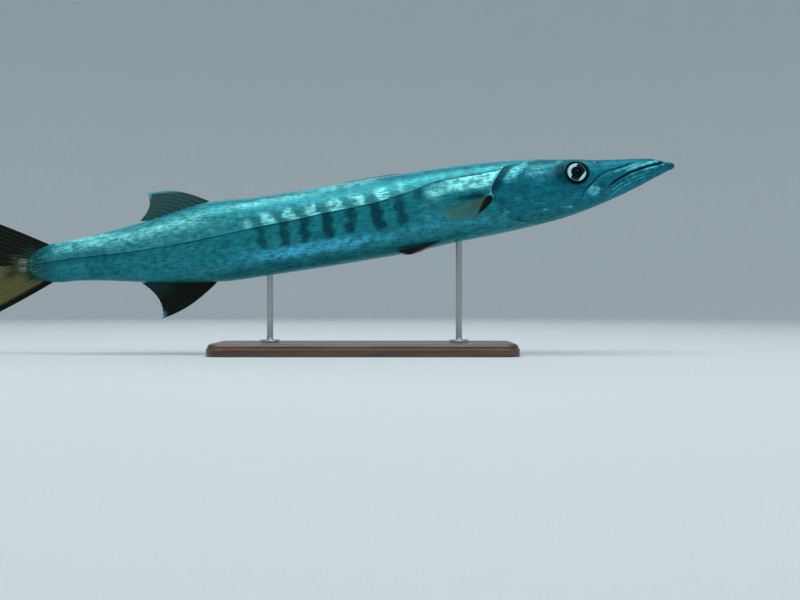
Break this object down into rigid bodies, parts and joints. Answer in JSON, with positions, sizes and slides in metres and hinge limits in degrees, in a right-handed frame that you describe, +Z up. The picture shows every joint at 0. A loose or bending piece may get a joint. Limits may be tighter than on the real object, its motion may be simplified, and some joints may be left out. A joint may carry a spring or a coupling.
{
  "type": "barracuda display model",
  "caption": "Still, life-size model of a great barracuda swimming nose up, held on a flat wooden base by slim steel rods.",
  "frame": {"origin": "centre of the underside of the stand's base", "axes": "+X towards the fish's snout, +Y to the fish's left, +Z up"},
  "size_m": [1.0641, 0.15, 0.2844],
  "materials": {
    "silver_skin": "silvery fish skin with fine scales, dark bars and a greenish back",
    "jaw_skin": "smooth dark silvery skin",
    "stem_skin": "silvery fish skin with small scales",
    "eye": "clear wet eye over a silver iris",
    "dark_fin": "thin dark fin web over bony rays, with pale tips",
    "olive_fin": "thin olive fin web over bony rays, with a dark edge",
    "pale_fin": "thin clear fin web over bony rays",
    "stand_wood": "dark stained, satin",
    "stand_steel": "brushed"
  },
  "bodies": {
    "root": {"head": "silver_skin", "lower_jaw": "jaw_skin", "eye_left": "eye", "eye_right": "eye", "trunk_front": "silver_skin", "trunk_rear": "silver_skin", "tail_stem": "stem_skin", "dorsal_fin_first": "dark_fin", "dorsal_fin_second": "dark_fin", "anal_fin": "dark_fin", "tail_fin_upper": "dark_fin", "tail_fin_lower": "olive_fin", "pectoral_fin_left": "pale_fin", "pectoral_fin_right": "pale_fin", "pelvic_fin_left": "pale_fin", "pelvic_fin_right": "pale_fin", "stand_base": "stand_wood", "stand_rod_front": "stand_steel", "stand_rod_rear": "stand_steel"}
  },
  "joints": []
}
